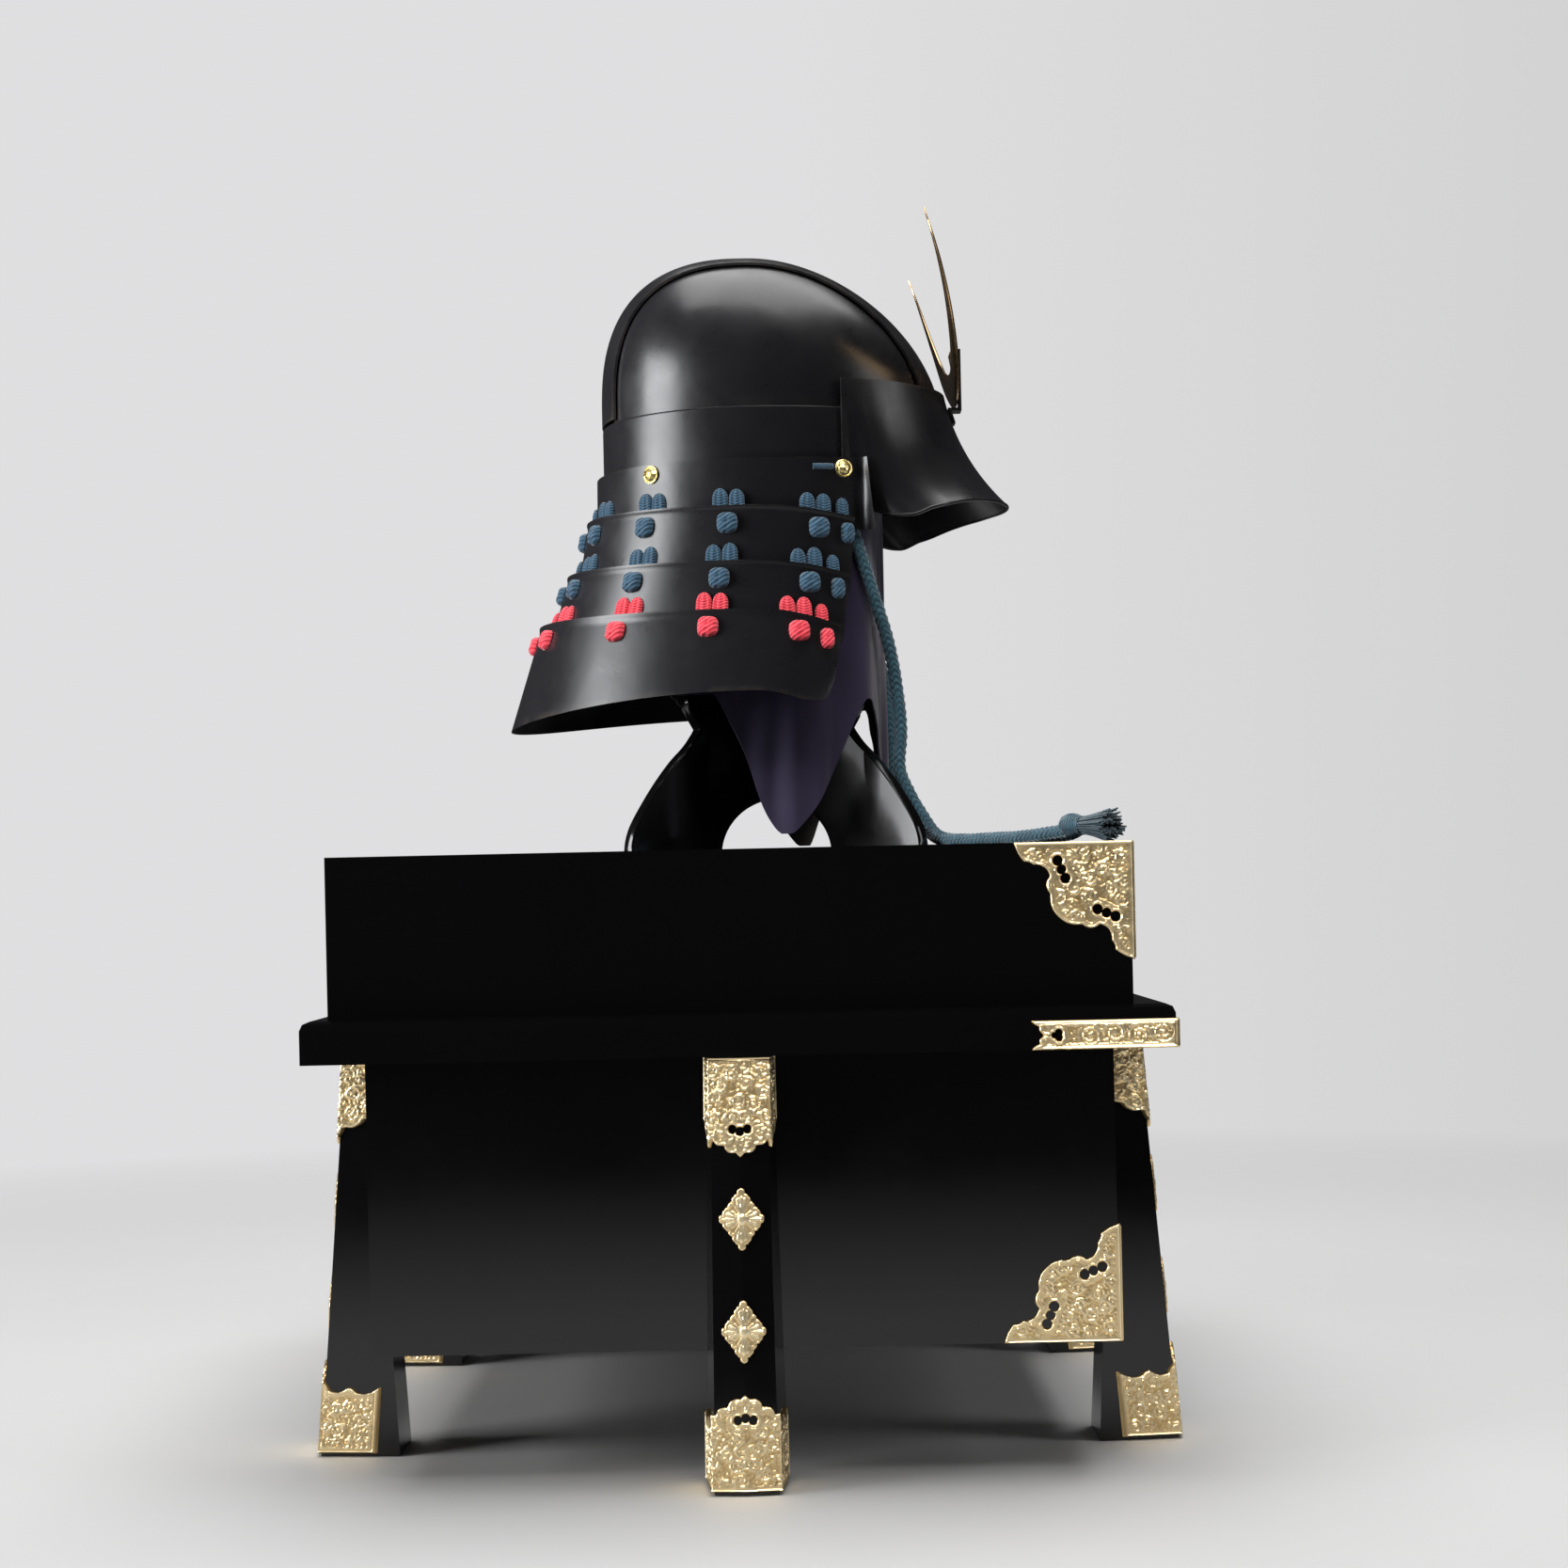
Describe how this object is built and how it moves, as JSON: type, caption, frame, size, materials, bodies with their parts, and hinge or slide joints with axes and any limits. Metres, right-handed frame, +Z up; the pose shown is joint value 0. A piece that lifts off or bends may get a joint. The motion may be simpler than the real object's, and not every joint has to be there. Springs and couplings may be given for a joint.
{
  "type": "kabuto samurai helmet on stand and armour chest",
  "caption": "Kabuto helmet with crescent crest, visor and laced neck guard, on a crossed-board stand with a draped cloth, on a black lacquered armour chest with gilt fittings.",
  "frame": {"origin": "the middle of the object's box in plan, on the floor under the chest's centre", "axes": "+X is the helmet's front, +Z is up, and +Y is the wearer's left; near is the -Y side"},
  "size_m": [0.5142, 0.5942, 0.7483],
  "materials": {
    "chest_lacquer": "high-gloss black lacquer on wood",
    "helmet_lacquer": "soft-gloss black lacquer on iron",
    "stand_lacquer": "gloss black lacquer on board",
    "gilt": "pale gilt copper with chased relief",
    "brass": "polished brass",
    "crest_gold": "deep gold, polished",
    "lace": "braided silk, teal blue",
    "cord": "round silk braid, dark teal",
    "cloth": "matt purple cloth with a beige reverse"
  },
  "bodies": {
    "root": {"chest_box": "chest_lacquer", "chest_lid": "chest_lacquer", "leg_front_near": "chest_lacquer", "foot_cap_front_near": "gilt", "leg_collar_front_near": "gilt", "leg_front_far": "chest_lacquer", "foot_cap_front_far": "gilt", "leg_collar_front_far": "gilt", "leg_back_near": "chest_lacquer", "foot_cap_back_near": "gilt", "leg_collar_back_near": "gilt", "leg_back_far": "chest_lacquer", "foot_cap_back_far": "gilt", "leg_collar_back_far": "gilt", "leg_side_near": "chest_lacquer", "foot_cap_side_near": "gilt", "leg_collar_side_near": "gilt", "leg_side_far": "chest_lacquer", "foot_cap_side_far": "gilt", "leg_collar_side_far": "gilt", "lid_corner_near": "gilt", "box_corner_near": "gilt", "moulding_corner_near": "gilt", "lid_corner_far": "gilt", "box_corner_far": "gilt", "moulding_corner_far": "gilt", "crown_plate": "helmet_lacquer", "side_plate_near": "helmet_lacquer", "side_plate_far": "helmet_lacquer", "waist_band": "helmet_lacquer", "brow_plate": "helmet_lacquer", "neck_lame_1": "helmet_lacquer", "neck_lame_2": "helmet_lacquer", "neck_lame_3": "helmet_lacquer", "neck_lame_4": "helmet_lacquer", "rivet_front_near": "brass", "rivet_front_far": "brass", "rivet_back_near": "brass", "rivet_back_far": "brass", "lace_brow_pair_near": "lace", "lace_brow_pair_far": "lace", "lace_brow_single_near": "lace", "lace_brow_single_far": "lace", "lace_cheek_near": "lace", "lace_cheek_far": "lace", "lace_side_near": "lace", "lace_side_far": "lace", "lace_nape_near": "lace", "lace_nape_far": "lace", "lace_centre": "lace", "crest": "crest_gold", "crest_socket": "crest_gold", "crest_bracket": "helmet_lacquer", "stand_board_a": "stand_lacquer", "stand_board_b": "stand_lacquer", "stand_cloth": "cloth", "chin_cord_near": "cord", "chin_cord_far": "cord", "cord_tassel": "cord"}
  },
  "joints": []
}
